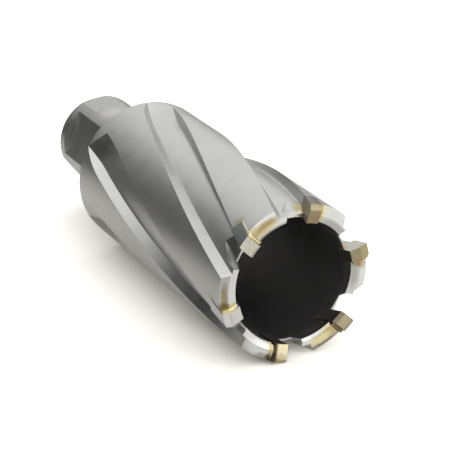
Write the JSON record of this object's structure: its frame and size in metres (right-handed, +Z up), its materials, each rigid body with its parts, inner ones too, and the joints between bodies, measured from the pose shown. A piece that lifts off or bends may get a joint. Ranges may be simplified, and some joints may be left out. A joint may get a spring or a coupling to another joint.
{
  "type": "annular cutter",
  "caption": "Hollow shell cutter with brazed carbide tips on a fluted helical body, a round shank with a driving flat and a pilot bore, lying on its side.",
  "frame": {"origin": "centre of the body's rear shoulder, on the cutter's axis, where the arbor's nose seats", "axes": "+X along the cutter's axis from the shank to the teeth, +Z up as it lies on its side, +Y completes the right-handed set"},
  "size_m": [0.0906, 0.0308, 0.0306],
  "materials": {
    "steel": "satin, finely blasted",
    "carbide": "ground",
    "braze": "cast, smooth"
  },
  "bodies": {
    "root": {"cutter_body": "steel", "carbide_tip_1": "carbide", "carbide_tip_2": "carbide", "carbide_tip_3": "carbide", "carbide_tip_4": "carbide", "carbide_tip_5": "carbide", "carbide_tip_6": "carbide", "braze_1": "braze", "braze_2": "braze", "braze_3": "braze", "braze_4": "braze", "braze_5": "braze", "braze_6": "braze"}
  },
  "joints": []
}
